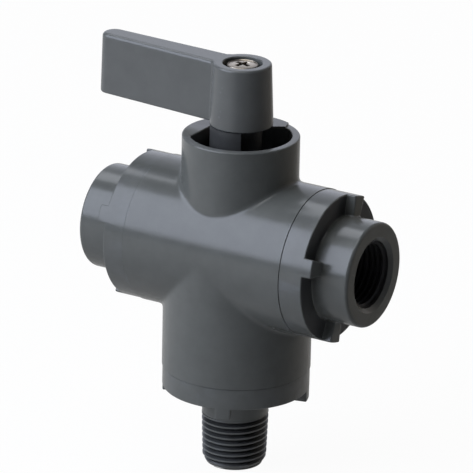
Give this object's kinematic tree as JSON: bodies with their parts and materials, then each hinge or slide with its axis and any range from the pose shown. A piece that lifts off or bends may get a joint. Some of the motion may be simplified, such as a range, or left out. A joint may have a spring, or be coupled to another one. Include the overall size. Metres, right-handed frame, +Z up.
{
  "type": "three-way ball valve",
  "caption": "Small plastic three-way ball valve: tee body with female side ports, a male bottom nipple, and a lever that turns an L-bored ball between the side ports.",
  "frame": {"origin": "centre of the bottom nipple's end face", "axes": "+Z up the barrel and the stem, +X along the run towards the right port, +Y away from the viewer"},
  "size_m": [0.0496, 0.0228, 0.0645],
  "materials": {
    "moulded_plastic": "satin dark grey moulded PVC",
    "handle_plastic": "satin dark grey moulded PVC",
    "ball_plastic": "polished grey PVC",
    "seat_plastic": "waxy white PTFE",
    "seal_rubber": "black moulded rubber",
    "screw_steel": "stainless steel"
  },
  "bodies": {
    "valve_body": {"body": "moulded_plastic", "left_end_connector": "moulded_plastic", "right_end_connector": "moulded_plastic", "bottom_end_connector": "moulded_plastic", "left_body_o_ring": "seal_rubber", "right_body_o_ring": "seal_rubber", "bottom_body_o_ring": "seal_rubber", "left_ball_seat": "seat_plastic", "right_ball_seat": "seat_plastic", "bottom_ball_seat": "seat_plastic", "left_seat_o_ring": "seal_rubber", "right_seat_o_ring": "seal_rubber", "bottom_seat_o_ring": "seal_rubber", "stem_thrust_washer": "seat_plastic"},
    "lever_and_ball": {"ball": "ball_plastic", "stem": "ball_plastic", "lower_stem_o_ring": "seal_rubber", "upper_stem_o_ring": "seal_rubber", "handle": "handle_plastic", "handle_screw": "screw_steel"}
  },
  "joints": [
    {"name": "lever_turn", "type": "hinge", "parent": "valve_body", "child": "lever_and_ball", "pos_m": [0, 0, 0.0354], "axis": [0, 0, 1], "range_deg": [-176, 4]}
  ]
}
